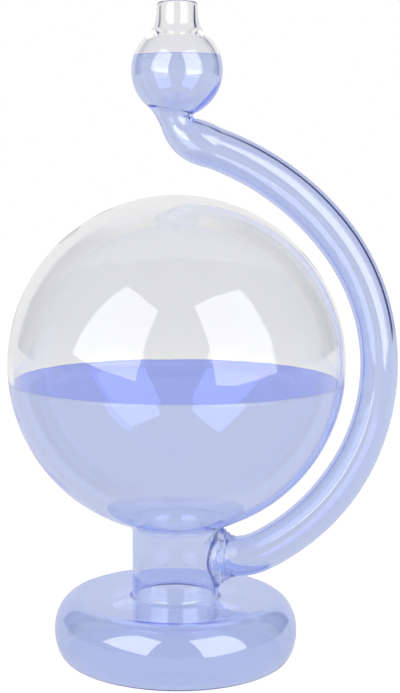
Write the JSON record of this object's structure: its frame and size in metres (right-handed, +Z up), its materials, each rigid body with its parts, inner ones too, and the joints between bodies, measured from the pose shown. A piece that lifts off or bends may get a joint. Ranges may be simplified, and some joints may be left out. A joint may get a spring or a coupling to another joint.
{
  "type": "weather glass",
  "caption": "Lampworked weather glass: sealed globe on a hollow foot, side arm curving over it to a small open bulb, part filled with tinted liquid.",
  "frame": {"origin": "centre of the foot's flat underside, on the axis of the neck, the globe and the bulb", "axes": "+Z up, +X from the neck's axis towards the side arm, +Y away from the viewer of the picture; the part is symmetric about the XZ plane"},
  "size_m": [0.1274, 0.11, 0.2131],
  "materials": {
    "glass": "clear, flame polished",
    "liquid": "clear, pale blue"
  },
  "bodies": {
    "vessel": {"foot": "glass", "neck": "glass", "globe": "glass", "arm": "glass", "arm_seal": "glass", "throat": "glass", "bulb": "glass", "mouth": "glass", "base_liquid": "liquid", "arm_liquid": "liquid", "throat_liquid": "liquid"},
    "globe_level": {"globe_liquid": "liquid"},
    "bulb_level": {"bulb_liquid": "liquid"}
  },
  "joints": [
    {"name": "bulb_level_rise", "type": "slide", "parent": "vessel", "child": "bulb_level", "axis": [0, 0, 1], "range_m": [-0.008, 0.002], "stiffness_N_per_m": 78, "springref_m": -0.0012, "deforming": ["bulb_liquid"]},
    {"name": "globe_level_rise", "type": "slide", "parent": "vessel", "child": "globe_level", "axis": [0, 0, 1], "range_m": [-0.00013, 0.0005], "deforming": ["globe_liquid"]}
  ],
  "couplings": [
    {"joint": "globe_level_rise", "follows": "bulb_level_rise", "ratio": -0.0573}
  ]
}
